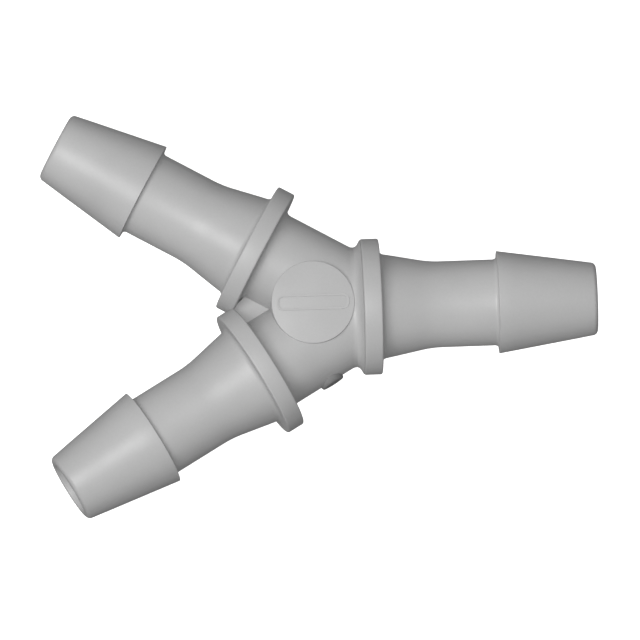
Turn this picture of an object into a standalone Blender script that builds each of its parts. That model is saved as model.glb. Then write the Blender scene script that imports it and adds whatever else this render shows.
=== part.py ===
"""Barbed Y connector (wye) for soft hose, moulded in grey polypropylene.

Three equal hose barbs leave one hub: a single arm along +X and two branch arms
that lean back 30 degrees to either side of -X. The connector lies flat, with the
round marking pad facing +Z. The origin is the centre of the outer box.
Units are metres. Each named section of the moulding is its own closed solid.
"""
import math

import bmesh
import bpy
from mathutils import Matrix, Vector

MM = 0.001

# Layout of the arms, measured from the point where the three bores meet
BRANCH_LEAN = math.radians(30.0)      # each branch arm from the -X direction
BRANCH_COLLAR_T = 16.6 * MM           # junction to a branch collar's hub-side face
SINGLE_COLLAR_T = 0.0 * MM            # junction to the single collar's hub-side face

# Stop collar
COLLAR_R = 10.15 * MM
COLLAR_WIDTH = 2.75 * MM
COLLAR_EDGE = 0.2 * MM                # small break on the collar's two rims

# Stem between the collar and the barb
BORE_R = 4.0 * MM
STEM_WAIST_R = 6.43 * MM
STEM_ROOT_R = 7.75 * MM
STEM_LENGTH = 17.55 * MM
ROOT_FILLET = 0.8 * MM
FLARE_END = 7.5 * MM                  # where the flare runs out into the waist
SHOULDER_FILLET = 0.6 * MM

# Barb
BARB_R = 7.65 * MM
BARB_LENGTH = 14.8 * MM
TIP_R = 5.45 * MM                     # where the cone meets the rounded nose
NOSE_RADIUS = 0.8 * MM
MOUTH_BREAK = 0.3 * MM

# Hub
HUB_R = 7.07 * MM
HUB_END_FILLET = 0.9 * MM
NECK_FILLET = 1.8 * MM                # rolls the hub up into the single collar

# Round marking pad, web in the crotch and the stub left by the mould's gate
PAD_X = -7.55 * MM
PAD_R = 6.2 * MM
PAD_SEAT_Z = 5.3 * MM
PAD_TOP_Z = 7.35 * MM
WEB_HALF_THICKNESS = 1.2 * MM
WEB_REACH_Y = 5.0 * MM                # the blank's half width, before it is cut to fit
GATE_T = 9.75 * MM
GATE_LENGTH = 3.8 * MM
GATE_WIDTH = 3.6 * MM
GATE_SEAT_R = 6.4 * MM
GATE_TOP_R = 7.5 * MM

JOIN_GAP = 0.02 * MM                  # left between neighbouring sections
WEB_GAP = 0.06 * MM                   # left round the web, which meets curved walls
SEGMENTS = 48
FILLET_STEPS = 3

GREY = (0.38, 0.38, 0.38)
ROUGHNESS = 0.45


def arc(centre_t, centre_r, radius, start_deg, end_deg, steps=FILLET_STEPS):
    """Points of an arc in the section plane, as (distance along the arm, radius)."""
    points = []
    for i in range(steps + 1):
        a = math.radians(start_deg + (end_deg - start_deg) * i / steps)
        points.append((centre_t + radius * math.cos(a), centre_r + radius * math.sin(a)))
    return points


def nose_outline(length):
    """The outer corner of a barb's rounded nose, up to the bore's mouth."""
    rounded = arc(length - NOSE_RADIUS, TIP_R - NOSE_RADIUS, NOSE_RADIUS, 80, 0)
    return rounded + [(length, BORE_R + MOUTH_BREAK), (length - MOUTH_BREAK, BORE_R)]


def branch_tip_t():
    """Distance from the junction to the tip of a branch barb."""
    return BRANCH_COLLAR_T + COLLAR_WIDTH + STEM_LENGTH + BARB_LENGTH


def single_tip_t():
    """Distance from the junction to the tip of the single barb."""
    return SINGLE_COLLAR_T + COLLAR_WIDTH + STEM_LENGTH + BARB_LENGTH


def junction_x():
    """X of the junction that puts the outer box's centre on the origin."""
    start = branch_tip_t() - BARB_LENGTH
    reach = 0.0
    for t, r in nose_outline(BARB_LENGTH):
        along = (start + t) * math.cos(BRANCH_LEAN)
        reach = max(reach, along + r * math.sin(BRANCH_LEAN))
    return (reach - single_tip_t()) / 2


JUNCTION = Vector((junction_x(), 0.0, 0.0))
ARM_TURN = {
    "single_arm": 0.0,
    "upper_arm": math.pi - BRANCH_LEAN,
    "lower_arm": math.pi + BRANCH_LEAN,
}
COLLAR_T = {
    "single_arm": SINGLE_COLLAR_T,
    "upper_arm": BRANCH_COLLAR_T,
    "lower_arm": BRANCH_COLLAR_T,
}


def plastic(name):
    """Satin grey polypropylene."""
    material = bpy.data.materials.new(name)
    material.use_nodes = True
    shader = material.node_tree.nodes["Principled BSDF"]
    shader.inputs["Base Color"].default_value = (*GREY, 1.0)
    shader.inputs["Roughness"].default_value = ROUGHNESS
    shader.inputs["Metallic"].default_value = 0.0
    return material


def add_object(name, bm, parent=None):
    """Puts a finished bmesh in the scene as a named object with its own plastic."""
    bmesh.ops.recalc_face_normals(bm, faces=bm.faces)
    mesh = bpy.data.meshes.new(name)
    bm.to_mesh(mesh)
    bm.free()
    piece = bpy.data.objects.new(name, mesh)
    bpy.context.scene.collection.objects.link(piece)
    piece.data.materials.append(plastic(name + "_plastic"))
    piece.parent = parent
    mesh.shade_smooth()
    mesh.set_sharp_from_angle(angle=math.radians(30))
    return piece


def spun(outline):
    """Spins a closed outline of (t, r) points round the local X axis."""
    bm = bmesh.new()
    verts = [bm.verts.new((t, 0.0, r)) for t, r in outline]
    edges = []
    for i in range(len(verts)):
        edges.append(bm.edges.new((verts[i - 1], verts[i])))
    bmesh.ops.spin(bm, geom=verts + edges, cent=(0, 0, 0), axis=(1, 0, 0),
                   angle=math.tau, steps=SEGMENTS, use_merge=True)
    bmesh.ops.remove_doubles(bm, verts=bm.verts, dist=1e-7)
    return bm


def spun_solid(outline):
    """Spins an open outline whose two ends are closed by flat discs."""
    bm = bmesh.new()
    verts = [bm.verts.new((t, 0.0, r)) for t, r in outline]
    edges = []
    for a, b in zip(verts, verts[1:]):
        edges.append(bm.edges.new((a, b)))
    bmesh.ops.spin(bm, geom=verts + edges, cent=(0, 0, 0), axis=(1, 0, 0),
                   angle=math.tau, steps=SEGMENTS, use_merge=True)
    bmesh.ops.remove_doubles(bm, verts=bm.verts, dist=1e-7)
    open_edges = [e for e in bm.edges if e.is_boundary]
    bmesh.ops.holes_fill(bm, edges=open_edges, sides=0)
    return bm


def cylinder(radius, low, high, direction="X", centre=(0.0, 0.0)):
    """A plain round bar from low to high along X or Z."""
    bm = bmesh.new()
    bmesh.ops.create_cone(bm, cap_ends=True, segments=SEGMENTS, radius1=radius,
                          radius2=radius, depth=high - low)
    middle = (low + high) / 2
    if direction == "X":
        bmesh.ops.rotate(bm, verts=bm.verts, matrix=Matrix.Rotation(math.pi / 2, 3, "Y"))
        bmesh.ops.translate(bm, verts=bm.verts, vec=(middle, 0, 0))
    else:
        bmesh.ops.translate(bm, verts=bm.verts, vec=(centre[0], centre[1], middle))
    return bm


def box(low, high):
    """A rectangular block between two corners."""
    bm = bmesh.new()
    size = [b - a for a, b in zip(low, high)]
    centre = [(a + b) / 2 for a, b in zip(low, high)]
    bmesh.ops.create_cube(bm, size=1.0)
    bmesh.ops.scale(bm, verts=bm.verts, vec=size)
    bmesh.ops.translate(bm, verts=bm.verts, vec=centre)
    return bm


def add_tool(name, bm, parent=None):
    """A hidden block that a Boolean modifier uses."""
    tool = add_object(name, bm, parent)
    tool.hide_render = True
    tool.display_type = "WIRE"
    return tool


def combine(target, tool, operation):
    """Joins, cuts or crosses the target with a tool object."""
    modifier = target.modifiers.new(tool.name, "BOOLEAN")
    modifier.operation = operation
    modifier.solver = "EXACT"
    modifier.object = tool


def add_arm_frames():
    """One empty for each arm, at the junction, with local +X out along the arm."""
    frames = {}
    for arm, turn in ARM_TURN.items():
        empty = bpy.data.objects.new(arm + "_axis", None)
        bpy.context.scene.collection.objects.link(empty)
        empty.location = JUNCTION
        empty.rotation_euler = (0, 0, turn)
        frames[arm] = empty
    return frames


def collar_outline(grow=0.0):
    """Section of a stop collar, from its hub-side face at t = 0."""
    low = -grow
    high = COLLAR_WIDTH - JOIN_GAP + grow
    rim = COLLAR_R + grow
    return [
        (low, BORE_R - grow),
        (low, rim - COLLAR_EDGE),
        (low + COLLAR_EDGE, rim),
        (high - COLLAR_EDGE, rim),
        (high, rim - COLLAR_EDGE),
        (high, BORE_R - grow),
    ]


def build_collar(arm, frame):
    """The ring that the end of the hose stops against."""
    bm = spun(collar_outline())
    bmesh.ops.translate(bm, verts=bm.verts, vec=(COLLAR_T[arm], 0, 0))
    if arm != "single_arm":
        side = 1 if arm == "upper_arm" else -1
        # the two branch collars run together in the crotch, so each ends at its middle
        turned_back = Matrix.Rotation(-ARM_TURN[arm], 3, "Z")
        geometry = bm.verts[:] + bm.edges[:] + bm.faces[:]
        cut = bmesh.ops.bisect_plane(
            bm, geom=geometry, dist=1e-8,
            plane_co=turned_back @ Vector((0, side * JOIN_GAP / 2, 0)),
            plane_no=turned_back @ Vector((0, -side, 0)), clear_outer=True)
        rim = [e for e in cut["geom_cut"] if isinstance(e, bmesh.types.BMEdge)]
        bmesh.ops.holes_fill(bm, edges=rim, sides=0)
    add_object(arm + "_collar", bm, frame)


def stem_outline():
    """Section of a stem, from the collar at t = 0 to the barb's shoulder."""
    slope = (STEM_ROOT_R - STEM_WAIST_R) / (FLARE_END - ROOT_FILLET)
    outline = [(0.0, BORE_R)]
    outline += [(t, r) for t, r in arc(ROOT_FILLET, STEM_ROOT_R + ROOT_FILLET,
                                       ROOT_FILLET, 180, 259)]
    outline += [
        (FLARE_END - 1.2 * MM, STEM_WAIST_R + 1.2 * MM * slope),
        (FLARE_END, STEM_WAIST_R + 0.05 * MM),
        (FLARE_END + 1.2 * MM, STEM_WAIST_R),
    ]
    end = STEM_LENGTH - JOIN_GAP
    outline += arc(end - SHOULDER_FILLET, STEM_WAIST_R + SHOULDER_FILLET,
                   SHOULDER_FILLET, 270, 360)
    outline.append((end, BORE_R))
    return outline


def build_stem(arm, frame):
    """The flared neck that the hose lies on behind the barb."""
    bm = spun(stem_outline())
    bmesh.ops.translate(bm, verts=bm.verts, vec=(COLLAR_T[arm] + COLLAR_WIDTH, 0, 0))
    add_object(arm + "_stem", bm, frame)


def build_barb(arm, frame):
    """The square-backed cone that grips the hose, with its rounded nose."""
    outline = [(0.0, BORE_R), (0.0, BARB_R)] + nose_outline(BARB_LENGTH)
    bm = spun(outline)
    start = COLLAR_T[arm] + COLLAR_WIDTH + STEM_LENGTH
    bmesh.ops.translate(bm, verts=bm.verts, vec=(start, 0, 0))
    add_object(arm + "_barb", bm, frame)


def branch_outline(grow=0.0):
    """Outside of the hub on one branch, with its fillet up to the collar."""
    centre_t = BRANCH_COLLAR_T - JOIN_GAP - HUB_END_FILLET
    rolled = arc(centre_t, HUB_R + grow + HUB_END_FILLET, HUB_END_FILLET, 270, 360)
    return [(-8.0 * MM, HUB_R + grow)] + rolled


def neck_solid():
    """Rolls the hub's oval end up into the single collar."""
    bm = bmesh.new()
    rings = []
    end = SINGLE_COLLAR_T - JOIN_GAP
    steps = FILLET_STEPS
    for i in range(-1, steps + 1):
        a = math.radians(90 * max(i, 0) / steps)
        x = end - NECK_FILLET + NECK_FILLET * math.sin(a) + min(i, 0) * MM
        rise = NECK_FILLET * (1 - math.cos(a)) if i >= 0 else -0.6 * MM
        half_width = (HUB_R - x * math.sin(BRANCH_LEAN)) / math.cos(BRANCH_LEAN)
        ring = []
        for k in range(SEGMENTS):
            turn = math.tau * k / SEGMENTS
            y = (half_width + rise) * math.sin(turn)
            z = (HUB_R + rise) * math.cos(turn)
            ring.append(bm.verts.new((x, y, z)))
        rings.append(ring)
    for near, far in zip(rings, rings[1:]):
        for k in range(SEGMENTS):
            bm.faces.new((near[k - 1], near[k], far[k], far[k - 1]))
    bm.faces.new(rings[0])
    bm.faces.new(rings[-1])
    return bm


def build_hub(frames):
    """The body where the three bores meet."""
    hub = add_object("hub_body", spun_solid(branch_outline()), frames["upper_arm"])
    other = add_tool("hub_lower_half", spun_solid(branch_outline()), frames["lower_arm"])
    combine(hub, other, "UNION")
    column = cylinder(PAD_R, -WEB_HALF_THICKNESS, PAD_SEAT_Z, "Z", (PAD_X, 0.0))
    combine(hub, add_tool("pad_column", column, frames["single_arm"]), "UNION")
    combine(hub, add_tool("hub_neck", neck_solid(), frames["single_arm"]), "UNION")
    trim = box((SINGLE_COLLAR_T - JOIN_GAP, -20 * MM, -20 * MM), (20 * MM, 20 * MM, 20 * MM))
    combine(hub, add_tool("neck_trim", trim, frames["single_arm"]), "DIFFERENCE")
    pad_room = cylinder(PAD_R + JOIN_GAP, PAD_SEAT_Z, 12 * MM, "Z", (PAD_X, 0.0))
    combine(hub, add_tool("pad_room", pad_room, frames["single_arm"]), "DIFFERENCE")
    combine(hub, add_tool("gate_room", gate_block(JOIN_GAP), frames["lower_arm"]),
            "DIFFERENCE")
    for arm in ("upper_arm", "lower_arm"):
        # the two branch bores also open the neck, where they cross the single bore's line
        bore = cylinder(BORE_R, -0.5 * MM, 30 * MM)
        combine(hub, add_tool(arm + "_bore_core", bore, frames[arm]), "DIFFERENCE")


def gate_block(grow=0.0):
    """The stub's block on the outer side of the lower branch, in the arm's frame."""
    return box(
        (GATE_T - GATE_LENGTH / 2 - grow, GATE_SEAT_R - grow, -GATE_WIDTH / 2 - grow),
        (GATE_T + GATE_LENGTH / 2 + grow, GATE_TOP_R, GATE_WIDTH / 2 + grow),
    )


def build_gate_stub(frames):
    """What is left of the mould's gate after it was cut off."""
    add_object("gate_stub", gate_block(), frames["lower_arm"])


def build_marking_pad(frames):
    """The raised round pad on the front of the hub, left plain."""
    pad = cylinder(PAD_R, PAD_SEAT_Z + JOIN_GAP, PAD_TOP_Z, "Z", (PAD_X, 0.0))
    add_object("marking_pad", pad, frames["single_arm"])


def build_web(frames):
    """The flat gusset that fills the crotch between the branch arms."""
    right = PAD_X - PAD_R + 2 * MM
    left = -BRANCH_COLLAR_T / math.cos(BRANCH_LEAN) - 1 * MM
    blank = box((left, -WEB_REACH_Y, -WEB_HALF_THICKNESS),
                (right, WEB_REACH_Y, WEB_HALF_THICKNESS))
    web = add_object("crotch_web", blank, frames["single_arm"])
    column = cylinder(PAD_R + JOIN_GAP, -12 * MM, 12 * MM, "Z", (PAD_X, 0.0))
    combine(web, add_tool("web_column_room", column, frames["single_arm"]), "DIFFERENCE")
    for arm in ("upper_arm", "lower_arm"):
        hub_room = spun_solid(branch_outline(WEB_GAP))
        combine(web, add_tool(arm + "_hub_room", hub_room, frames[arm]), "DIFFERENCE")
        bm = spun_solid([(BRANCH_COLLAR_T - WEB_GAP, 12 * MM), (30 * MM, 12 * MM)])
        combine(web, add_tool(arm + "_collar_room", bm, frames[arm]), "DIFFERENCE")


def main():
    for thing in list(bpy.data.objects):
        bpy.data.objects.remove(thing, do_unlink=True)
    frames = add_arm_frames()
    build_hub(frames)
    build_marking_pad(frames)
    build_web(frames)
    build_gate_stub(frames)
    for arm, frame in frames.items():
        build_collar(arm, frame)
        build_stem(arm, frame)
        build_barb(arm, frame)


main()
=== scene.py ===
"""Moulded grey Y connector for soft hose: its pieces, its plastic and a studio stage.

Laid out as an add-on and run as a script. Lengths are in metres. The connector lies
flat with its marking pad up, and the centre of its outer box is the origin.
"""
import math

import bpy
from bpy.props import FloatProperty, FloatVectorProperty, IntProperty, PointerProperty
from mathutils import Matrix, Vector


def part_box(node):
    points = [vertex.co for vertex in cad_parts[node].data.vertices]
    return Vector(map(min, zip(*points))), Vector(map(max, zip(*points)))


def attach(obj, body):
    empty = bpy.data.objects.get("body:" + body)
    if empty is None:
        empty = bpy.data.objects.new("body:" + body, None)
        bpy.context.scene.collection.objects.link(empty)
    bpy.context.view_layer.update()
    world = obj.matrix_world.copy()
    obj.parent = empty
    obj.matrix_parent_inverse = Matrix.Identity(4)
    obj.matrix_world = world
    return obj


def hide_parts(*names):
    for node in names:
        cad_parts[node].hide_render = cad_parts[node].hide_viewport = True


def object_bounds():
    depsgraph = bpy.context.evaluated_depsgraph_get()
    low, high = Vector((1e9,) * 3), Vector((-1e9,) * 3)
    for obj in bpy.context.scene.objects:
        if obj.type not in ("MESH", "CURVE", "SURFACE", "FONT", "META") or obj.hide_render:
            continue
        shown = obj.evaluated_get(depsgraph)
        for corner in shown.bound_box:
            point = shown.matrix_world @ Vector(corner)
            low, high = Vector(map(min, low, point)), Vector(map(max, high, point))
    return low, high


bl_info = {
    "name": "Barbed Y Connector",
    "version": (1, 0, 0),
    "blender": (4, 5, 0),
    "location": "View3D > Sidebar > Y Connector",
    "description": "Models a moulded Y connector for soft hose and its studio stage",
    "category": "Add Mesh",
}

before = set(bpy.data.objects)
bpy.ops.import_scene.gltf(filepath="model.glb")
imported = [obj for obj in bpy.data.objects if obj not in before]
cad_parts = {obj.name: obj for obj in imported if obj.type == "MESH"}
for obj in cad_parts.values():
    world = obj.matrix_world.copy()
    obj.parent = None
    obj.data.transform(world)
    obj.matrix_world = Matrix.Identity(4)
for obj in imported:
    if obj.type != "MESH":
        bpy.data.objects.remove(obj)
CAD_LOW, CAD_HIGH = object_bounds()

MM = 0.001
BODY = "root"
SAME_PLACE = 1e-6       # closer than this, two places count as one
DOUBLES = 1e-7          # vertices closer than this are merged
ON_PLANE = 1e-8         # vertices closer than this to a cut lie on it


# ---------------------------------------------------------------- sizes from the frame

def span(node, axis):
    """Lowest and highest value of a CAD node along one axis."""
    low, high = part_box(node)
    return low[axis], high[axis]


def middle(node):
    """Middle of a CAD node's box."""
    low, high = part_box(node)
    return (Vector(low) + Vector(high)) / 2


COLLAR_LOW, COLLAR_HIGH = span("single_arm_collar", 0)
STEM_LOW, STEM_HIGH = span("single_arm_stem", 0)
BARB_LOW, BARB_HIGH = span("single_arm_barb", 0)
JUNCTION_X = COLLAR_LOW
FLOOR_Z = CAD_LOW[2]


class YConnectorSizes(bpy.types.PropertyGroup):
    """Sizes of the moulding"""

    branch_lean: FloatProperty(
        name="Branch Lean", description="Angle of each branch arm from the single arm's line",
        default=math.radians(30), subtype="ANGLE", unit="ROTATION")
    branch_reach: FloatProperty(
        name="Branch Reach", description="From the junction to a branch collar's hub side",
        default=16.6 * MM, unit="LENGTH")
    barrel_radius: FloatProperty(
        name="Barrel Radius", description="Outside of the hub along a branch",
        default=7.07 * MM, unit="LENGTH")
    barrel_fillet: FloatProperty(
        name="Barrel Fillet", description="Fillet from the hub up to a branch collar",
        default=0.9 * MM, unit="LENGTH")
    neck_fillet: FloatProperty(
        name="Neck Fillet", description="Fillet from the hub up to the single collar",
        default=1.8 * MM, unit="LENGTH")
    bore_radius: FloatProperty(
        name="Bore Radius", description="Inside of every arm",
        default=4.0 * MM, unit="LENGTH")
    collar_radius: FloatProperty(
        name="Collar Radius", description="Rim of a stop collar",
        default=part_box("single_arm_collar")[1][2], unit="LENGTH")
    collar_round: FloatProperty(
        name="Collar Rounding", description="Rounding of a collar's two rims",
        default=0.28 * MM, unit="LENGTH")
    stem_root: FloatProperty(
        name="Stem Root Radius", description="Stem beside the collar, past its fillet",
        default=7.75 * MM, unit="LENGTH")
    stem_waist: FloatProperty(
        name="Stem Waist Radius", description="Straight stretch of the stem",
        default=6.43 * MM, unit="LENGTH")
    flare_length: FloatProperty(
        name="Flare Length", description="From the collar to where the flare runs out",
        default=7.5 * MM, unit="LENGTH")
    flare_ease: FloatProperty(
        name="Flare Easing", description="Half the stretch over which the flare runs out",
        default=1.6 * MM, unit="LENGTH")
    root_fillet: FloatProperty(
        name="Root Fillet", description="Fillet where the stem meets the collar",
        default=0.8 * MM, unit="LENGTH")
    shoulder_fillet: FloatProperty(
        name="Shoulder Fillet", description="Fillet where the stem meets the barb's back",
        default=0.6 * MM, unit="LENGTH")
    barb_radius: FloatProperty(
        name="Barb Radius", description="Sharp edge of the barb",
        default=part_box("single_arm_barb")[1][2], unit="LENGTH")
    barb_edge: FloatProperty(
        name="Barb Edge", description="Rounding of the barb's sharp edge",
        default=0.06 * MM, unit="LENGTH")
    tip_radius: FloatProperty(
        name="Tip Radius", description="Cone's end, where the rounded nose starts",
        default=5.45 * MM, unit="LENGTH")
    nose_round: FloatProperty(
        name="Nose Rounding", description="Outer rounding of the nose",
        default=0.8 * MM, unit="LENGTH")
    mouth_round: FloatProperty(
        name="Mouth Rounding", description="Inner rounding of the bore's mouth",
        default=0.35 * MM, unit="LENGTH")
    pad_radius: FloatProperty(
        name="Pad Radius", description="Round marking pad",
        default=6.2 * MM, unit="LENGTH")
    pad_edge: FloatProperty(
        name="Pad Edge", description="Rounding of the pad's front edge",
        default=0.10 * MM, unit="LENGTH")
    web_bury: FloatProperty(
        name="Web Overlap", description="How far the web reaches into its neighbours",
        default=0.5 * MM, unit="LENGTH")
    frame_length: FloatProperty(
        name="Frame Length", description="Raised blank frame on the pad, along the pad",
        default=10.8 * MM, unit="LENGTH")
    frame_width: FloatProperty(
        name="Frame Width", description="Raised blank frame on the pad, across the pad",
        default=2.3 * MM, unit="LENGTH")
    frame_line: FloatProperty(
        name="Frame Line", description="Width of the raised frame's line",
        default=0.26 * MM, unit="LENGTH")
    frame_rise: FloatProperty(
        name="Frame Rise", description="Height of the raised frame",
        default=0.20 * MM, unit="LENGTH")
    frame_corner: FloatProperty(
        name="Frame Corner", description="Rounding of the raised frame's ends",
        default=0.95 * MM, unit="LENGTH")
    gate_length: FloatProperty(
        name="Gate Length", description="Gate stub, along the arm",
        default=3.8 * MM, unit="LENGTH")
    gate_top: FloatProperty(
        name="Gate Top", description="Cut end of the gate stub, from the arm's axis",
        default=7.5 * MM, unit="LENGTH")
    segments: IntProperty(
        name="Segments", description="Flats round each turned shape", default=240, min=48)


class YConnectorFinish(bpy.types.PropertyGroup):
    """Colour and surface of the plastic"""

    colour: FloatVectorProperty(
        name="Colour", description="Base colour of the plastic",
        default=(0.42, 0.42, 0.42), subtype="COLOR", min=0.0, max=1.0)
    roughness: FloatProperty(
        name="Roughness", description="Sheen of the moulded skin", default=0.42,
        min=0.0, max=1.0, subtype="FACTOR")
    mottle: FloatProperty(
        name="Mottle", description="How much the tone drifts over the moulding",
        default=0.05, min=0.0, max=1.0, subtype="FACTOR")
    grain: FloatProperty(
        name="Grain", description="Strength of the fine grain", default=0.6,
        min=0.0, max=1.0, subtype="FACTOR")


class YConnectorStage(bpy.types.PropertyGroup):
    """Camera, lights and floor"""

    camera_tip: FloatProperty(
        name="Camera Tip", description="How far the camera leans from straight above",
        default=math.radians(7.95), subtype="ANGLE", unit="ROTATION")
    camera_sway: FloatProperty(
        name="Camera Sway", description="How far the camera leans to the branches' side",
        default=math.radians(2.0), subtype="ANGLE", unit="ROTATION")
    camera_turn: FloatProperty(
        name="Camera Turn", description="How far the connector is turned in the picture",
        default=math.radians(2.06), subtype="ANGLE", unit="ROTATION")
    frame_width: FloatProperty(
        name="Frame Width", description="Width of the view at the connector",
        default=95.49 * MM, unit="LENGTH")
    frame_right: FloatProperty(
        name="Frame Right", description="How far right of the view's middle the junction is",
        default=6.243 * MM, unit="LENGTH")
    frame_up: FloatProperty(
        name="Frame Up", description="How far above the view's middle the junction is",
        default=1.927 * MM, unit="LENGTH")
    camera_distance: FloatProperty(
        name="Camera Distance", description="From the junction to the camera",
        default=0.5, unit="LENGTH")
    key_power: FloatProperty(
        name="Key Light", description="Power of the large soft light", default=4.2,
        unit="POWER")
    floor_tone: FloatProperty(
        name="Floor Tone", description="How pale the floor is", default=0.85,
        min=0.0, max=1.0, subtype="FACTOR")


def sizes():
    return bpy.context.scene.y_connector_sizes


def finish_settings():
    return bpy.context.scene.y_connector_finish


def stage_settings():
    return bpy.context.scene.y_connector_stage


# ------------------------------------------------------------------ moulded plastic

NOISE_RANGE = (0.3, 0.7)        # most of a noise's values lie between these
CLOUD_SIZE = 14 * MM            # slow drift of the tone
SPECK_SIZE = 0.35 * MM          # fine specks in the tone
SPECK_DEPTH = 0.015
PATCH_SIZE = 5 * MM             # patches of more and less sheen
PATCH_DULL, PATCH_SHINY = 0.06, -0.05
GRAIN_SIZE, GRAIN_RISE = 0.22 * MM, 0.010 * MM
PEEL_SIZE, PEEL_RISE = 2.4 * MM, 0.012 * MM
SEAM_CORE, SEAM_EDGE = 0.03 * MM, 0.10 * MM
SEAM_DRIFT_SIZE, SEAM_DRIFT = 9 * MM, 0.02 * MM
SEAM_RISE, SEAM_PALE = 0.02 * MM, 1.05
BLUSH_REACH, BLUSH_PALE = 3.2 * MM, 1.10
PLASTIC_IOR, PLASTIC_GLOSS = 1.49, 0.45


class NodeBench:
    """Adds and wires the nodes of one material."""

    def __init__(self, name):
        self.material = bpy.data.materials.new(name)
        self.material.use_nodes = True
        self.tree = self.material.node_tree
        self.shader = self.tree.nodes["Principled BSDF"]

    def add(self, kind, **settings):
        node = self.tree.nodes.new(kind)
        for key, value in settings.items():
            setattr(node, key, value)
        return node

    def wire(self, source, target):
        self.tree.links.new(source, target)

    def noise(self, vector, size, detail=2.0, rough=0.5):
        """Noise whose features are about size metres across."""
        node = self.add("ShaderNodeTexNoise")
        node.inputs["Scale"].default_value = 1.0 / size
        node.inputs["Detail"].default_value = detail
        node.inputs["Roughness"].default_value = rough
        self.wire(vector, node.inputs["Vector"])
        return node.outputs["Fac"]

    def spread(self, value, low, high, from_low=0.0, from_high=1.0):
        """Maps a value from one range to another, clamped."""
        node = self.add("ShaderNodeMapRange")
        node.inputs["From Min"].default_value = from_low
        node.inputs["From Max"].default_value = from_high
        node.inputs["To Min"].default_value = low
        node.inputs["To Max"].default_value = high
        self.wire(value, node.inputs["Value"])
        return node.outputs["Result"]

    def combine(self, operation, *values):
        """The sum, product or other Math result of one or two values."""
        node = self.add("ShaderNodeMath", operation=operation)
        for value, socket in zip(values, node.inputs):
            self.wire(value, socket)
        return node.outputs[0]


def near_point(bench, vector, point, radius):
    """1 at a point of the moulding, falling to 0 at a radius from it."""
    offset = bench.add("ShaderNodeVectorMath", operation="DISTANCE")
    bench.wire(vector, offset.inputs[0])
    offset.inputs[1].default_value = point
    return bench.spread(offset.outputs["Value"], 1.0, 0.0, 0.0, radius)


def parting_line(bench, vector):
    """1 on the plane where the two halves of the mould met, 0 away from it."""
    split = bench.add("ShaderNodeSeparateXYZ")
    bench.wire(vector, split.inputs[0])
    drift = bench.spread(bench.noise(vector, SEAM_DRIFT_SIZE), -SEAM_DRIFT, SEAM_DRIFT)
    height = bench.combine("ADD", split.outputs["Z"], drift)
    distance = bench.combine("ABSOLUTE", height)
    return bench.spread(distance, 1.0, 0.0, SEAM_CORE, SEAM_EDGE)


def moulded_plastic(name, grain=1.0, sheen=0.0, painted_shade_factor=1.0, blush=None, seam=True):
    """Satin polypropylene: drifting tone, fine grain, moulding witness lines, and a colour
    factor that paints shade.
    """
    look = finish_settings()
    bench = NodeBench(name)
    place = bench.add("ShaderNodeTexCoord").outputs["Object"]

    cloudy = bench.noise(place, CLOUD_SIZE, detail=3.0)
    speck = bench.noise(place, SPECK_SIZE)
    tone = bench.combine(
        "MULTIPLY",
        bench.spread(cloudy, 1 - look.mottle, 1 + look.mottle, *NOISE_RANGE),
        bench.spread(speck, 1 - SPECK_DEPTH, 1 + SPECK_DEPTH, *NOISE_RANGE))
    if blush is not None:
        gate = near_point(bench, place, blush, BLUSH_REACH)
        tone = bench.combine("MULTIPLY", tone, bench.spread(gate, 1.0, BLUSH_PALE))
    if seam:
        line = parting_line(bench, place)
        tone = bench.combine("MULTIPLY", tone, bench.spread(line, 1.0, SEAM_PALE))
    # a factor below 1 darkens the colour as painted shade; the gate stub's plastic is painted
    # at half tone
    paint = bench.add("ShaderNodeVectorMath", operation="SCALE")
    paint.inputs[0].default_value = [painted_shade_factor * c for c in look.colour]
    bench.wire(tone, paint.inputs["Scale"])
    bench.wire(paint.outputs["Vector"], bench.shader.inputs["Base Color"])

    patchy = bench.noise(place, PATCH_SIZE, detail=4.0, rough=0.6)
    base = look.roughness + sheen
    bench.wire(bench.spread(patchy, base + PATCH_SHINY, base + PATCH_DULL, *NOISE_RANGE),
               bench.shader.inputs["Roughness"])

    fine = bench.noise(place, GRAIN_SIZE, detail=3.0, rough=0.6)
    peel = bench.noise(place, PEEL_SIZE, detail=1.0)
    height = bench.combine("ADD", bench.spread(fine, 0.0, grain * GRAIN_RISE),
                           bench.spread(peel, 0.0, PEEL_RISE))
    if seam:
        height = bench.combine("ADD", height, bench.spread(line, 0.0, SEAM_RISE))
    bump = bench.add("ShaderNodeBump")
    bump.inputs["Strength"].default_value = look.grain
    bump.inputs["Distance"].default_value = 1.0
    bench.wire(height, bump.inputs["Height"])
    bench.wire(bump.outputs["Normal"], bench.shader.inputs["Normal"])
    bench.shader.inputs["IOR"].default_value = PLASTIC_IOR
    bench.shader.inputs["Specular IOR Level"].default_value = PLASTIC_GLOSS
    return bench.material


# ------------------------------------------------------------------- modelling helpers

def deselect_all():
    """Leaves edit mode and clears the selection."""
    if bpy.context.object is not None and bpy.context.object.mode != "OBJECT":
        bpy.ops.object.mode_set(mode="OBJECT")
    bpy.ops.object.select_all(action="DESELECT")


def make_active(piece):
    deselect_all()
    piece.select_set(True)
    bpy.context.view_layer.objects.active = piece


def select_parts(piece, verts=None, faces=None):
    """Selects in edit mode the vertices or faces that pass a test."""
    bpy.ops.object.mode_set(mode="EDIT")
    bpy.ops.mesh.select_mode(type="VERT" if verts else "FACE")
    bpy.ops.mesh.select_all(action="DESELECT")
    bpy.ops.object.mode_set(mode="OBJECT")
    chosen = 0
    if verts:
        for v in piece.data.vertices:
            v.select = verts(v.co)
            chosen += v.select
    else:
        for f in piece.data.polygons:
            f.select = faces(f)
            chosen += f.select
    bpy.ops.object.mode_set(mode="EDIT")
    if not chosen:
        raise RuntimeError("nothing selected on " + piece.name)


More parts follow.
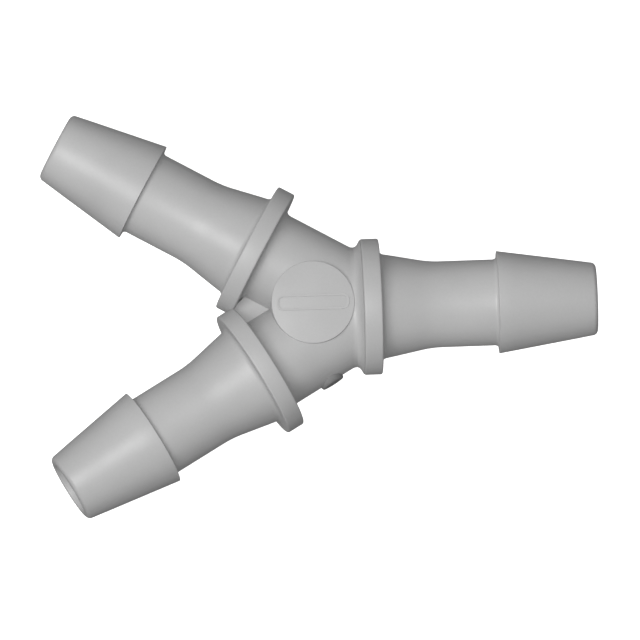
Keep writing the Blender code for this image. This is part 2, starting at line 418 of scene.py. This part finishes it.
def arc(centre, radius, start, end, steps=6):
    """Stations of an arc: centre and results are (along, radius), angles in degrees."""
    points = []
    for i in range(steps + 1):
        a = math.radians(start + (end - start) * i / steps)
        points.append((centre[0] + radius * math.cos(a), centre[1] + radius * math.sin(a)))
    return points


def draw_ring_through(stations, segments):
    """Starts from a ring of vertices and extrudes it from station to station along +Z.

    Each station is (distance along the axis, radius). Leaves the object in edit mode.
    """
    deselect_all()
    along, radius = stations[0]
    bpy.ops.mesh.primitive_circle_add(vertices=segments, radius=radius,
                                      location=(0, 0, along))
    piece = bpy.context.object
    bpy.ops.object.mode_set(mode="EDIT")
    bpy.ops.mesh.select_mode(type="EDGE")
    bpy.ops.mesh.select_all(action="SELECT")
    for (t0, r0), (t1, r1) in zip(stations, stations[1:]):
        bpy.ops.mesh.extrude_edges_move(
            TRANSFORM_OT_translate={"value": (0, 0, t1 - t0)})
        if r1 != r0:
            bpy.ops.transform.resize(value=(r1 / r0, r1 / r0, 1),
                                     center_override=(0, 0, t1))
    return piece


def face_outward(piece):
    """Turns every face of a closed piece outward."""
    make_active(piece)
    bpy.ops.object.mode_set(mode="EDIT")
    bpy.ops.mesh.select_all(action="SELECT")
    bpy.ops.mesh.normals_make_consistent(inside=False)
    bpy.ops.object.mode_set(mode="OBJECT")


def cut(piece, point, normal, drop_beyond=False, fill=False):
    """Cuts a piece by a plane, and can drop what lies beyond it and close the cut."""
    make_active(piece)
    bpy.ops.object.mode_set(mode="EDIT")
    bpy.ops.mesh.select_all(action="SELECT")
    bpy.ops.mesh.bisect(plane_co=point, plane_no=normal, clear_outer=drop_beyond,
                        use_fill=fill, threshold=ON_PLANE)
    bpy.ops.object.mode_set(mode="OBJECT")


def turned_ring(stations):
    """A closed ring-shaped solid of that section, lying along +X from the origin."""
    piece = draw_ring_through(stations, sizes().segments)
    bpy.ops.mesh.select_all(action="DESELECT")
    bpy.ops.mesh.select_non_manifold()
    bpy.ops.mesh.bridge_edge_loops()
    face_outward(piece)
    lie_along(piece, Matrix.Identity(4))
    return piece


def lie_along(piece, arm):
    """Turns a shape drawn along +Z to lie along an arm, and applies its place."""
    make_active(piece)
    upright_to_x = Matrix.Rotation(math.pi / 2, 4, "Y")
    piece.matrix_world = arm @ upright_to_x @ piece.matrix_world
    bpy.ops.object.transform_apply(location=True, rotation=True, scale=True)


def put_on_arm(piece, arm, along):
    """Copies a shape that lies along +X to a place on an arm."""
    make_active(piece)
    bpy.ops.object.duplicate(linked=False)
    copy = bpy.context.object
    copy.matrix_world = arm @ Matrix.Translation((along, 0, 0))
    bpy.ops.object.transform_apply(location=True, rotation=True, scale=True)
    return copy


def discard(piece):
    bpy.data.objects.remove(piece, do_unlink=True)


def smooth(piece, angle=30):
    """Smooth shading with sharp edges past an angle in degrees."""
    make_active(piece)
    bpy.ops.object.shade_smooth_by_angle(angle=math.radians(angle), keep_sharp_edges=False)


def hand_in(piece, node, material):
    """Names a finished piece for its CAD node, and gives it its plastic and its body."""
    piece.name = node + "_moulding"
    piece.data.name = piece.name
    piece.data.materials.clear()
    piece.data.materials.append(material)
    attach(piece, BODY)
    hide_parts(node)


def arm_places():
    """Matrix of each arm, at the junction, with +X out along the arm."""
    lean = sizes().branch_lean
    at_junction = Matrix.Translation((JUNCTION_X, 0, 0))
    return {
        "single_arm": at_junction,
        "upper_arm": at_junction @ Matrix.Rotation(math.pi - lean, 4, "Z"),
        "lower_arm": at_junction @ Matrix.Rotation(math.pi + lean, 4, "Z"),
    }


def collar_start(arm):
    """From the junction to an arm's collar."""
    return 0.0 if arm == "single_arm" else sizes().branch_reach


# --------------------------------------------------------------------------- collars

FACE_RING_RADIUS = 6.4 * MM     # a ring of edges on a collar's flat faces


class MESH_OT_y_connector_collars(bpy.types.Operator):
    """Stop rings that the hose ends meet"""

    bl_idname = "mesh.y_connector_collars"
    bl_label = "Stop Collars"

    def execute(self, context):
        s = sizes()
        width = STEM_LOW - COLLAR_LOW
        rim, edge = s.collar_radius, s.collar_round
        section = [(0, s.bore_radius), (0, FACE_RING_RADIUS)]
        section += arc((edge, rim - edge), edge, 180, 90)
        section += arc((width - edge, rim - edge), edge, 90, 0)
        section += [(width, FACE_RING_RADIUS), (width, s.bore_radius)]
        ring = turned_ring(section)
        plastic = moulded_plastic("collar_plastic", grain=0.8)
        for arm, place in arm_places().items():
            collar = put_on_arm(ring, place, collar_start(arm))
            if arm != "single_arm":
                # the two branch collars meet in the crotch and end on the middle plane
                across = -1 if arm == "upper_arm" else 1
                cut(collar, (0, 0, 0), (0, across, 0), drop_beyond=True, fill=True)
            smooth(collar)
            hand_in(collar, arm + "_collar", plastic)
        discard(ring)
        return {"FINISHED"}


# ----------------------------------------------------------------------------- stems

ROOT_ARC_END = 259              # degrees: here the root fillet has the taper's slope
TAPER_STEPS, EASE_STEPS = 4, 8


class MESH_OT_y_connector_stems(bpy.types.Operator):
    """Flared necks that the hoses lie on behind the barbs"""

    bl_idname = "mesh.y_connector_stems"
    bl_label = "Flared Stems"

    def execute(self, context):
        s = sizes()
        length = BARB_LOW - STEM_LOW
        root, shoulder = s.root_fillet, s.shoulder_fillet
        section = [(0, s.bore_radius)]
        section += arc((root, s.stem_root + root), root, 180, ROOT_ARC_END)
        section += self.flare(s)
        section += arc((length - shoulder, s.stem_waist + shoulder), shoulder, 270, 360)
        section += [(length, s.bore_radius)]
        ring = turned_ring(section)
        plastic = moulded_plastic("stem_plastic", grain=0.6, sheen=-0.03)
        for arm, place in arm_places().items():
            along = collar_start(arm) + STEM_LOW - JUNCTION_X
            stem = put_on_arm(ring, place, along)
            smooth(stem)
            hand_in(stem, arm + "_stem", plastic)
        discard(ring)
        return {"FINISHED"}

    def flare(self, s):
        """A straight taper that eases into the waist over a short arc."""
        slope = (s.stem_root - s.stem_waist) / (s.flare_length - s.root_fillet)
        ease_start = s.flare_length - s.flare_ease
        points = []
        for i in range(1, TAPER_STEPS + 1):
            t = s.root_fillet + (ease_start - s.root_fillet) * i / TAPER_STEPS
            points.append((t, s.stem_waist + (s.flare_length - t) * slope))
        for i in range(1, EASE_STEPS + 1):
            done = i / EASE_STEPS
            t = ease_start + 2 * s.flare_ease * done
            points.append((t, s.stem_waist + slope * s.flare_ease * (1 - done) ** 2))
        return points


# ----------------------------------------------------------------------------- barbs

CONE_START, CONE_END = 84, 80   # degrees: where the edge ends and where the nose starts
CONE_STEPS = 6


class MESH_OT_y_connector_barbs(bpy.types.Operator):
    """Square-backed cones that grip the hoses, with rounded noses"""

    bl_idname = "mesh.y_connector_barbs"
    bl_label = "Barbs"

    def execute(self, context):
        s = sizes()
        length = BARB_HIGH - BARB_LOW
        edge, nose, mouth = s.barb_edge, s.nose_round, s.mouth_round
        section = [(0, s.bore_radius), (0, s.stem_waist)]
        section += arc((edge, s.barb_radius - edge), edge, 180, CONE_START, steps=4)
        cone_low = section[-1][0]
        cone_high = length - nose + nose * math.cos(math.radians(CONE_END))
        for i in range(1, CONE_STEPS):
            done = i / CONE_STEPS
            section.append((cone_low + (cone_high - cone_low) * done,
                            s.barb_radius + (s.tip_radius - s.barb_radius) * done))
        section += arc((length - nose, s.tip_radius - nose), nose, CONE_END, 0, steps=8)
        section += arc((length - mouth, s.bore_radius + mouth), mouth, 0, -90)
        ring = turned_ring(section)
        plastic = moulded_plastic("barb_plastic", grain=0.6, sheen=-0.03)
        for arm, place in arm_places().items():
            along = collar_start(arm) + BARB_LOW - JUNCTION_X
            barb = put_on_arm(ring, place, along)
            smooth(barb)
            hand_in(barb, arm + "_barb", plastic)
        discard(ring)
        return {"FINISHED"}


# ------------------------------------------------------------------------------- hub

# Places of the first rings along a branch, from the junction. The first ring is past the
# single collar, so that the cut there goes through the whole skin.
SKIN_RINGS = (-9 * MM, 10 * MM)
BORE_RINGS = (-6 * MM, 5 * MM)
NECK_STEPS = 7


class MESH_OT_y_connector_hub(bpy.types.Operator):
    """Body where the three bores meet"""

    bl_idname = "mesh.y_connector_hub"
    bl_label = "Hub Body"

    def execute(self, context):
        s = sizes()
        fillet = s.barrel_fillet
        outside = [(along, s.barrel_radius) for along in SKIN_RINGS]
        outside += arc((s.branch_reach - fillet, s.barrel_radius + fillet), fillet,
                       270, 360)
        inside = [(along, s.bore_radius) for along in (*BORE_RINGS, s.branch_reach)]
        shell = self.branch_skin(outside)
        self.roll_up_neck(shell, s)
        core = self.branch_skin(inside)
        for skin in (shell, core):
            cut(skin, (0, 0, 0), (0, -1, 0), drop_beyond=True)
        make_active(shell)
        core.select_set(True)
        bpy.ops.object.join()
        hub = bpy.context.object
        self.mirror(hub)
        self.close_end(hub, lambda co: co.x > JUNCTION_X - SAME_PLACE)
        for arm in ("upper_arm", "lower_arm"):
            self.close_end(hub, self.on_branch_end(s, arm))
        face_outward(hub)
        smooth(hub, 25)
        plastic = moulded_plastic("hub_plastic", blush=middle("gate_stub"))
        hand_in(hub, "hub_body", plastic)
        return {"FINISHED"}

    def branch_skin(self, stations):
        """One branch's skin, as far as the single collar."""
        skin = draw_ring_through(stations, sizes().segments)
        lie_along(skin, arm_places()["upper_arm"])
        cut(skin, (JUNCTION_X, 0, 0), (1, 0, 0), drop_beyond=True)
        return skin

    def roll_up_neck(self, shell, s):
        """Cuts rings round the neck and widens each along a fillet to the collar."""
        wide, high = s.barrel_radius / math.cos(s.branch_lean), s.barrel_radius
        for i in range(NECK_STEPS + 1):
            turn = math.radians(90 * i / NECK_STEPS)
            back = s.neck_fillet * (1 - math.sin(turn))
            rise = s.neck_fillet * (1 - math.cos(turn))
            x = JUNCTION_X - back
            if i < NECK_STEPS:
                cut(shell, (x, 0, 0), (1, 0, 0))
            select_parts(shell, verts=lambda co: abs(co.x - x) < 2 * SAME_PLACE)
            bpy.ops.transform.resize(value=(1, 1 + rise / wide, 1 + rise / high),
                                     center_override=(x, back * math.tan(s.branch_lean), 0))
            bpy.ops.object.mode_set(mode="OBJECT")

    def on_branch_end(self, s, arm):
        """A test for vertices on the flat end of a branch."""
        out = arm_places()[arm].to_3x3() @ Vector((1, 0, 0))
        start = Vector((JUNCTION_X, 0, 0))
        return lambda co: (co - start).dot(out) > s.branch_reach - SAME_PLACE

    def close_end(self, hub, on_end):
        """Fills the flat ring between the skin and the bore on an open end."""
        make_active(hub)
        select_parts(hub, verts=on_end)
        bpy.ops.mesh.select_mode(type="EDGE")
        bpy.ops.mesh.fill()
        bpy.ops.object.mode_set(mode="OBJECT")

    def mirror(self, hub):
        """The other branch is the mirror image of this one."""
        make_active(hub)
        bpy.ops.object.modifier_add(type="MIRROR")
        mirror = hub.modifiers[-1]
        mirror.use_axis = (False, True, False)
        mirror.merge_threshold = SAME_PLACE
        bpy.ops.object.modifier_apply(modifier=mirror.name)
        bpy.ops.object.mode_set(mode="EDIT")
        bpy.ops.mesh.select_all(action="SELECT")
        bpy.ops.mesh.remove_doubles(threshold=DOUBLES)
        bpy.ops.object.mode_set(mode="OBJECT")


# ----------------------------------------------------- pad, web and gate stub

PAD_FOOT_DROP = 0.3 * MM        # the pad's foot is this far below the web's front
FRAME_SINK = 0.05 * MM          # the raised frame stands this deep in the pad
# Levels of the gate stub: height above the arm's axis, shares of its length and breadth
GATE_LEVELS = ((5.0 * MM, 1.0, 1.0), (6.0 * MM, 1.0, 1.0), (6.5 * MM, 1.0, 0.95),
               (6.9 * MM, 0.99, 0.88), (7.2 * MM, 0.97, 0.80), (7.42 * MM, 0.94, 0.72))
GATE_TOP_SHARES = (0.90, 0.66)
GATE_SPREAD = 1.6               # half breadth at the stub's foot, in CAD half breadths


class MESH_OT_y_connector_marking_pad(bpy.types.Operator):
    """Raised round pad on the front, with a blank frame for a size mark"""

    bl_idname = "mesh.y_connector_marking_pad"
    bl_label = "Marking Pad"

    def execute(self, context):
        s = sizes()
        centre_x, top = middle("marking_pad").x, span("marking_pad", 2)[1]
        foot = span("crotch_web", 2)[1] - PAD_FOOT_DROP
        deselect_all()
        bpy.ops.mesh.primitive_cylinder_add(
            vertices=s.segments, radius=s.pad_radius, depth=top - foot,
            location=(centre_x, 0, (top + foot) / 2))
        pad = bpy.context.object
        bpy.ops.object.transform_apply(location=True, rotation=True, scale=True)
        select_parts(pad, faces=lambda f: f.normal.z > 0.9)
        bpy.ops.mesh.bevel(offset=s.pad_edge, segments=3, profile=0.5, affect="EDGES")
        mark = self.blank_frame(s, (centre_x, 0, top - FRAME_SINK))
        make_active(pad)
        mark.select_set(True)
        bpy.ops.object.join()
        smooth(pad)
        hand_in(pad, "marking_pad", moulded_plastic("pad_plastic", grain=1.2, seam=False))
        return {"FINISHED"}

    def blank_frame(self, s, place):
        """A raised oblong outline with round ends, standing a little into the pad."""
        deselect_all()
        bpy.ops.mesh.primitive_plane_add(size=1.0, location=place)
        mark = bpy.context.object
        mark.scale = (s.frame_length, s.frame_width, 1)
        bpy.ops.object.transform_apply(location=True, rotation=True, scale=True)
        bpy.ops.object.mode_set(mode="EDIT")
        bpy.ops.mesh.select_all(action="SELECT")
        bpy.ops.mesh.bevel(offset=s.frame_corner, segments=8, profile=0.5,
                           affect="VERTICES")
        bpy.ops.mesh.select_all(action="SELECT")
        bpy.ops.mesh.inset(thickness=s.frame_line)
        bpy.ops.mesh.delete(type="FACE")
        bpy.ops.mesh.select_all(action="SELECT")
        bpy.ops.mesh.extrude_region_move(
            TRANSFORM_OT_translate={"value": (0, 0, s.frame_rise + FRAME_SINK)})
        face_outward(mark)
        return mark


class MESH_OT_y_connector_web(bpy.types.Operator):
    """Flat gusset in the crotch between the branch arms"""

    bl_idname = "mesh.y_connector_web"
    bl_label = "Crotch Web"

    def execute(self, context):
        s = sizes()
        low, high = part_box("crotch_web")
        # the outline reaches into the barrels and the collars, which hide its edges
        heel = high[0] + s.web_bury
        tip = JUNCTION_X - s.branch_reach / math.cos(s.branch_lean) - s.web_bury
        half_width = (high[1] - low[1]) / 2 + 2 * s.web_bury
        deselect_all()
        bpy.ops.mesh.primitive_circle_add(vertices=4, radius=1.0, fill_type="NGON",
                                          location=((heel + tip) / 2, 0, low[2]))
        web = bpy.context.object
        web.scale = ((heel - tip) / 2, half_width, 1)
        bpy.ops.object.transform_apply(location=True, rotation=True, scale=True)
        bpy.ops.object.mode_set(mode="EDIT")
        bpy.ops.mesh.select_all(action="SELECT")
        bpy.ops.mesh.extrude_region_move(
            TRANSFORM_OT_translate={"value": (0, 0, high[2] - low[2])})
        bpy.ops.mesh.select_all(action="SELECT")
        bpy.ops.mesh.bevel(offset=s.web_bury / 4, segments=2, affect="EDGES")
        bpy.ops.object.mode_set(mode="OBJECT")
        face_outward(web)
        smooth(web)
        hand_in(web, "crotch_web", moulded_plastic("web_plastic"))
        return {"FINISHED"}


class MESH_OT_y_connector_gate_stub(bpy.types.Operator):
    """What is left where the gate was cut off"""

    bl_idname = "mesh.y_connector_gate_stub"
    bl_label = "Gate Stub"

    def execute(self, context):
        s = sizes()
        arm = arm_places()["lower_arm"]
        along = (arm.inverted() @ middle("gate_stub")).x
        half_breadth = GATE_SPREAD * span("gate_stub", 2)[1]
        dome = [*GATE_LEVELS, (s.gate_top, *GATE_TOP_SHARES)]
        stub = self.draw_dome(dome, s.gate_length / 2, half_breadth)
        bpy.ops.mesh.select_all(action="DESELECT")
        bpy.ops.mesh.select_non_manifold()
        bpy.ops.mesh.fill_holes(sides=0)
        face_outward(stub)
        stand_out = Matrix.Rotation(-math.pi / 2, 4, "X")
        stub.matrix_world = (arm @ Matrix.Translation((along, 0, 0)) @ stand_out
                             @ stub.matrix_world)
        bpy.ops.object.transform_apply(location=True, rotation=True, scale=True)
        smooth(stub)
        # the gate stub's colour is halved: painted shade standing in for the shade on its
        # side
        hand_in(stub, "gate_stub", moulded_plastic("gate_plastic_painted_shade", grain=3.0, sheen=0.15,
                                                   painted_shade_factor=0.5, seam=False))
        return {"FINISHED"}

    def draw_dome(self, dome, half_length, half_breadth):
        """Extrudes an oval upward from level to level. Leaves it in edit mode."""
        deselect_all()
        bpy.ops.mesh.primitive_circle_add(vertices=96, radius=1.0,
                                          location=(0, 0, dome[0][0]))
        stub = bpy.context.object
        bpy.ops.object.mode_set(mode="EDIT")
        bpy.ops.mesh.select_mode(type="EDGE")
        bpy.ops.mesh.select_all(action="SELECT")
        bpy.ops.transform.resize(value=(half_length, half_breadth, 1))
        for (h0, l0, b0), (h1, l1, b1) in zip(dome, dome[1:]):
            bpy.ops.mesh.extrude_edges_move(
                TRANSFORM_OT_translate={"value": (0, 0, h1 - h0)})
            bpy.ops.transform.resize(value=(l1 / l0, b1 / b0, 1),
                                     center_override=(0, 0, h1))
        return stub


# ----------------------------------------------------------------------------- stage

FLOOR_SIZE = 6.0
FLOOR_TOOTH_SIZE, FLOOR_TOOTH = 0.6 * MM, 0.005
FLOOR_DRIFT_SIZE, FLOOR_DRIFT = 120 * MM, 0.01
FLOOR_DULL, FLOOR_GLOSS = 0.8, 0.2
FLOOR_GLOW = 0.75
AIR_GLOW = 0.25
KEY_PLACE = (-0.273, -0.078, 0.585)
FILL_PLACE = (0.0, -0.03, 0.65)
# Name, share of the key power, size, place, whether it casts shadows, whether it shines
LIGHTS = (
    ("key_light", 0.45, 0.28, KEY_PLACE, True, True),
    ("even_light", 0.30, 0.36, KEY_PLACE, False, True),
    ("soft_fill", 0.32, 0.40, FILL_PLACE, False, False),
)


def floor_material(tone):
    """Pale board with a barely visible tooth."""
    bench = NodeBench("studio_floor")
    place = bench.add("ShaderNodeTexCoord").outputs["Object"]
    tooth = bench.noise(place, FLOOR_TOOTH_SIZE, detail=3.0)
    drift = bench.noise(place, FLOOR_DRIFT_SIZE)
    level = bench.combine(
        "MULTIPLY",
        bench.spread(drift, tone - FLOOR_DRIFT, tone + FLOOR_DRIFT, *NOISE_RANGE),
        bench.spread(tooth, 1 - FLOOR_TOOTH, 1 + FLOOR_TOOTH))
    bench.wire(level, bench.shader.inputs["Base Color"])
    bench.shader.inputs["Roughness"].default_value = FLOOR_DULL
    bench.shader.inputs["Specular IOR Level"].default_value = FLOOR_GLOSS
    bench.shader.inputs["Emission Color"].default_value = (1.0, 1.0, 1.0, 1.0)
    bench.shader.inputs["Emission Strength"].default_value = FLOOR_GLOW
    return bench.material


class SCENE_OT_y_connector_stage(bpy.types.Operator):
    """Floor, lights and camera"""

    bl_idname = "scene.y_connector_stage"
    bl_label = "Studio Stage"

    def execute(self, context):
        s = stage_settings()
        self.floor(s)
        for name, share, size, place, shadow, shine in LIGHTS:
            lamp = self.soft_light(name, s.key_power * share, size, place)
            lamp.data.use_shadow = shadow
            lamp.visible_glossy = shine
        self.world()
        self.camera(s)
        return {"FINISHED"}

    def soft_light(self, name, power, size, place):
        """A square soft light turned towards the connector."""
        light = bpy.data.lights.new(name, "AREA")
        light.shape = "SQUARE"
        light.size = size
        light.energy = power
        lamp = bpy.data.objects.new(name, light)
        bpy.context.scene.collection.objects.link(lamp)
        lamp.location = place
        lamp.rotation_euler = Vector(place).to_track_quat("Z", "Y").to_euler()
        return lamp

    def floor(self, s):
        deselect_all()
        bpy.ops.mesh.primitive_plane_add(size=FLOOR_SIZE, location=(0, 0, FLOOR_Z))
        floor = bpy.context.object
        bpy.ops.object.transform_apply(location=True, rotation=True, scale=True)
        floor.name = "studio_floor"
        floor.data.materials.append(floor_material(s.floor_tone))
        floor.visible_diffuse = False
        floor.visible_glossy = False

    def world(self):
        world = bpy.data.worlds.new("studio_air")
        bpy.context.scene.world = world
        world.use_nodes = True
        air = world.node_tree.nodes["Background"]
        air.inputs["Color"].default_value = (1.0, 1.0, 1.0, 1.0)
        air.inputs["Strength"].default_value = AIR_GLOW
        bpy.context.scene.view_settings.view_transform = "Standard"

    def camera(self, s):
        data = bpy.data.cameras.new("studio_camera")
        data.type = "ORTHO"
        data.ortho_scale = s.frame_width
        data.clip_start, data.clip_end = 0.01, 5.0
        camera = bpy.data.objects.new("studio_camera", data)
        bpy.context.scene.collection.objects.link(camera)
        turn = (Matrix.Rotation(-s.camera_turn, 4, "Z")
                @ Matrix.Rotation(s.camera_tip, 4, "X")
                @ Matrix.Rotation(-s.camera_sway, 4, "Y"))
        aim = Matrix.Translation((JUNCTION_X, 0, 0))
        back_off = Matrix.Translation((-s.frame_right, -s.frame_up, s.camera_distance))
        camera.matrix_world = aim @ turn @ back_off
        bpy.context.scene.camera = camera


# ------------------------------------------------------------------- panel and register

class VIEW3D_PT_y_connector(bpy.types.Panel):
    """Lists the connector's pieces, in the order that they are made"""

    bl_label = "Y Connector"
    bl_idname = "VIEW3D_PT_y_connector"
    bl_space_type = "VIEW_3D"
    bl_region_type = "UI"
    bl_category = "Y Connector"

    def draw(self, context):
        layout = self.layout
        for group in (sizes(), finish_settings(), stage_settings()):
            box = layout.box()
            box.label(text=group.__doc__)
            for key in group.__annotations__:
                box.prop(group, key)
        for operator in OPERATORS:
            layout.operator(operator.bl_idname)


OPERATORS = (
    MESH_OT_y_connector_hub,
    MESH_OT_y_connector_collars,
    MESH_OT_y_connector_stems,
    MESH_OT_y_connector_barbs,
    MESH_OT_y_connector_marking_pad,
    MESH_OT_y_connector_web,
    MESH_OT_y_connector_gate_stub,
    SCENE_OT_y_connector_stage,
)
GROUPS = {
    "y_connector_sizes": YConnectorSizes,
    "y_connector_finish": YConnectorFinish,
    "y_connector_stage": YConnectorStage,
}


def register():
    for name, group in GROUPS.items():
        bpy.utils.register_class(group)
        setattr(bpy.types.Scene, name, PointerProperty(type=group))
    for operator in OPERATORS:
        bpy.utils.register_class(operator)
    bpy.utils.register_class(VIEW3D_PT_y_connector)


def unregister():
    bpy.utils.unregister_class(VIEW3D_PT_y_connector)
    for operator in reversed(OPERATORS):
        bpy.utils.unregister_class(operator)
    for name, group in reversed(GROUPS.items()):
        delattr(bpy.types.Scene, name)
        bpy.utils.unregister_class(group)


def main():
    register()
    for operator in OPERATORS:
        category, call = operator.bl_idname.split(".")
        getattr(getattr(bpy.ops, category), call)()


if __name__ == "__main__":
    main()
